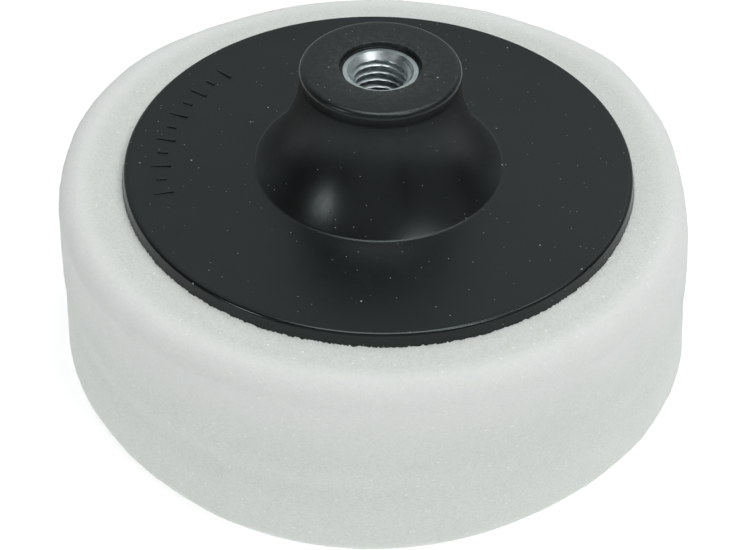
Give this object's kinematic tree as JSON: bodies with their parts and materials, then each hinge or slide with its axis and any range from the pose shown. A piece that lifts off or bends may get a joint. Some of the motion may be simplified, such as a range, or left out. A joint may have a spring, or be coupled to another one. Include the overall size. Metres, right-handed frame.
{
  "type": "polishing pad",
  "caption": "Round foam polishing pad bonded to a plastic backing plate, with a bell-shaped hub and a threaded steel bush for the spindle of a polisher.",
  "frame": {"origin": "centre of the foam's working face, which is the lowest face and lies on z = 0", "axes": "+Z along the spindle axis, from the working face to the hub; -Y is the side shown to the front, +X to its right"},
  "size_m": [0.153, 0.153, 0.077],
  "materials": {
    "foam": "fine open-cell polyurethane foam, off-white",
    "adhesive": "thin cured glue",
    "plate_plastic": "satin black moulded plastic",
    "insert_steel": "turned steel, bright zinc plated"
  },
  "bodies": {
    "root": {"foam_pad": "foam", "adhesive_film": "adhesive", "backing_plate": "plate_plastic", "hub": "plate_plastic", "hub_ribs": "plate_plastic", "threaded_insert": "insert_steel"}
  },
  "joints": []
}
